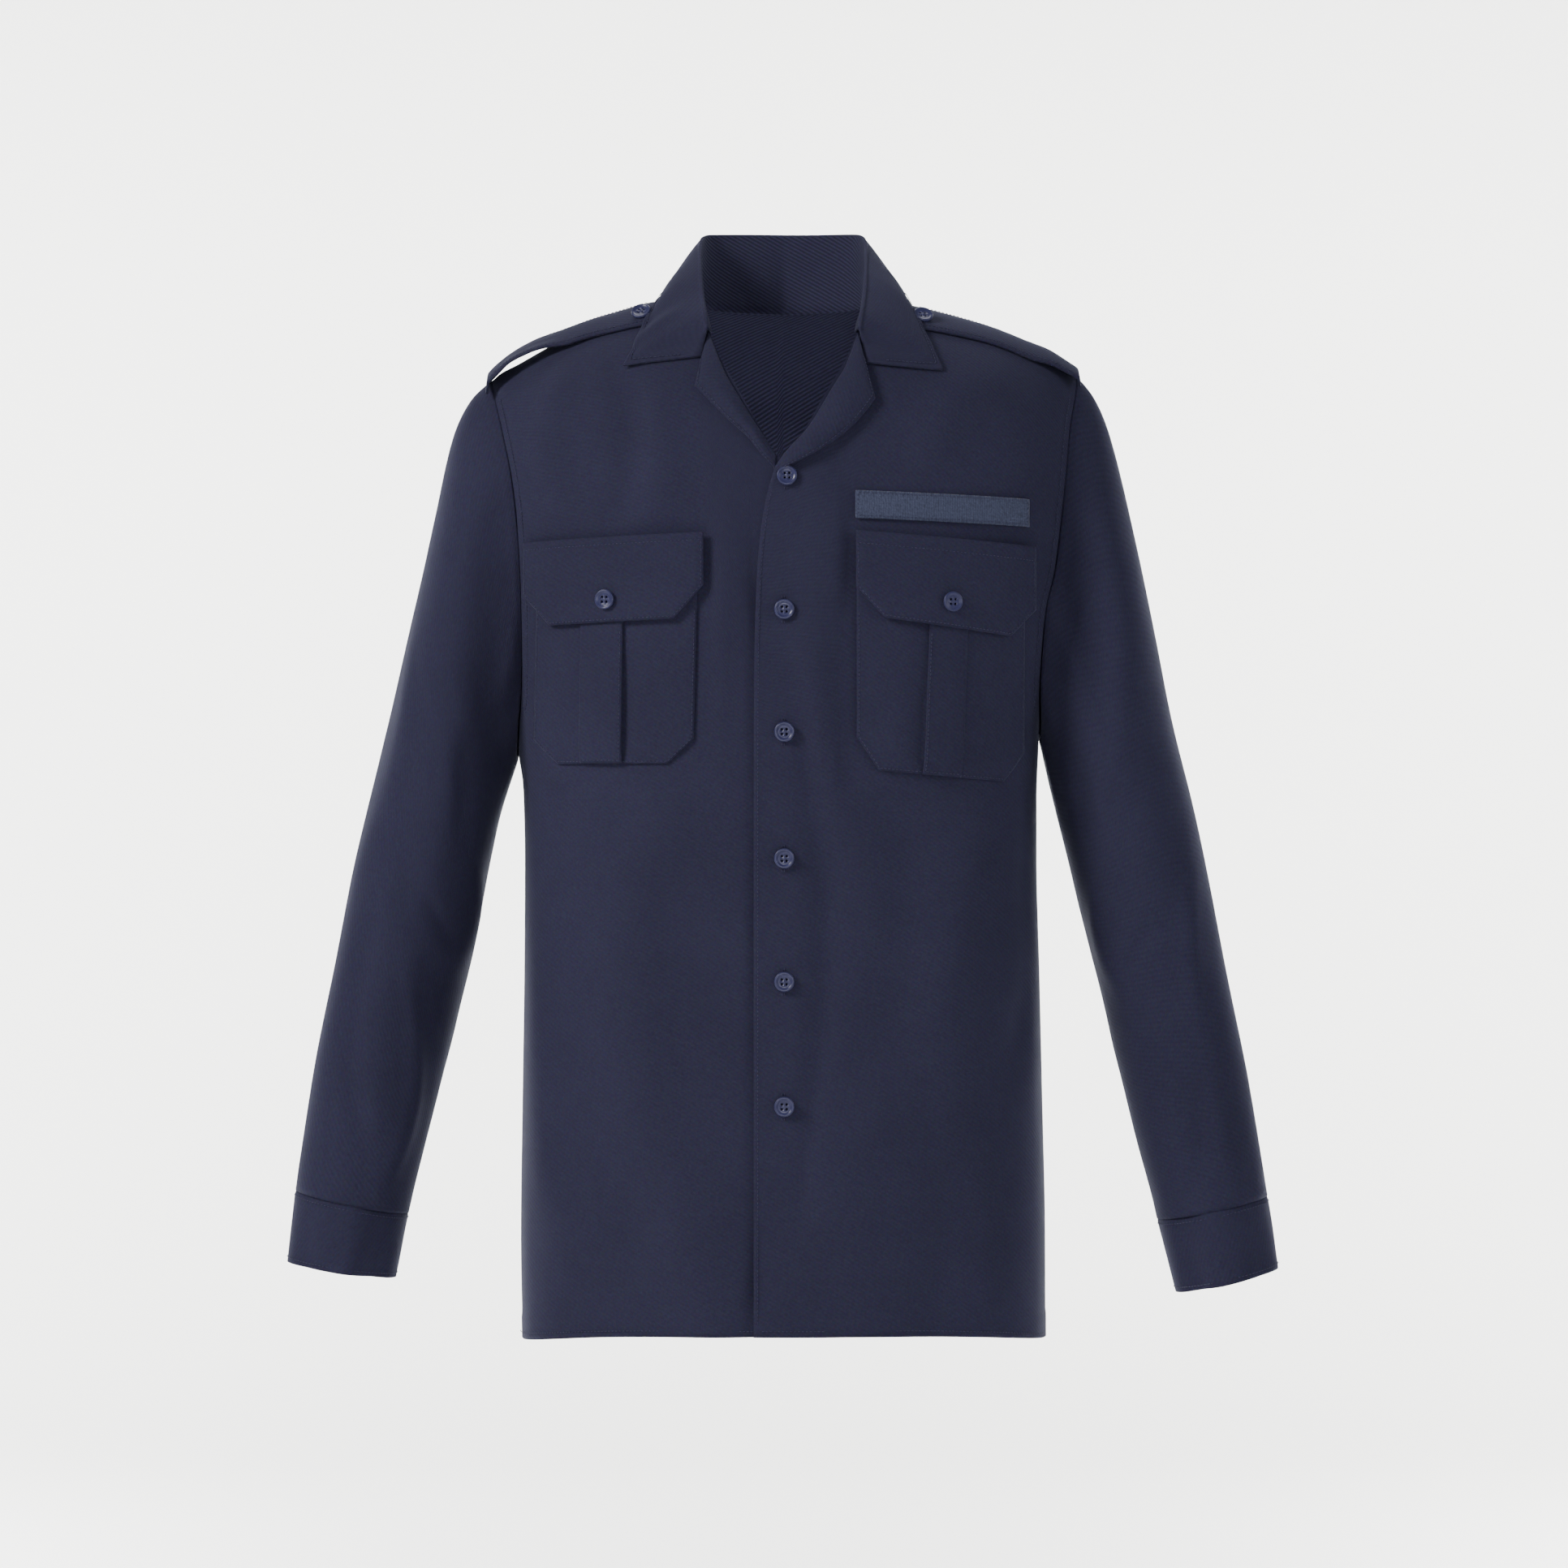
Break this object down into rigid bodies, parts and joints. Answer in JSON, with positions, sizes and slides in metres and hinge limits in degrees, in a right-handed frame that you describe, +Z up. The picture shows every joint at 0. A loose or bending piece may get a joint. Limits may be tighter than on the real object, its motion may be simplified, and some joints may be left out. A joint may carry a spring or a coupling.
{
  "type": "long-sleeved uniform shirt",
  "caption": "Long-sleeved navy twill uniform shirt, filled out as worn, with open collar, epaulettes, flapped chest pockets and a bare name-tape strip.",
  "frame": {"origin": "the middle of the shoulders at the height of the neck seam, where the wearer's shoulders and neck hold the shirt", "axes": "+Z up, -Y to the front of the shirt, +X to the wearer's left"},
  "size_m": [0.7385, 0.2597, 0.834],
  "materials": {
    "navy_twill": "matte navy cotton twill with a fine diagonal rib",
    "loop_tape": "matte slate-blue woven loop tape",
    "button_plastic": "satin-gloss navy moulded plastic"
  },
  "bodies": {
    "root": {"back": "navy_twill", "button_epaulette_left": "button_plastic", "button_epaulette_right": "button_plastic", "button_flap_left": "button_plastic", "button_flap_right": "button_plastic", "button_front_1": "button_plastic", "button_front_2": "button_plastic", "button_front_3": "button_plastic", "button_front_4": "button_plastic", "button_front_5": "button_plastic", "button_front_6": "button_plastic", "collar": "navy_twill", "cuff_left": "navy_twill", "cuff_right": "navy_twill", "epaulette_left": "navy_twill", "epaulette_right": "navy_twill", "flap_left": "navy_twill", "flap_right": "navy_twill", "front_left": "navy_twill", "front_right": "navy_twill", "lapel_left": "navy_twill", "lapel_right": "navy_twill", "name_tape": "loop_tape", "pleat_left": "navy_twill", "pleat_right": "navy_twill", "pocket_left": "navy_twill", "pocket_right": "navy_twill", "sleeve_left": "navy_twill", "sleeve_right": "navy_twill"}
  },
  "joints": []
}
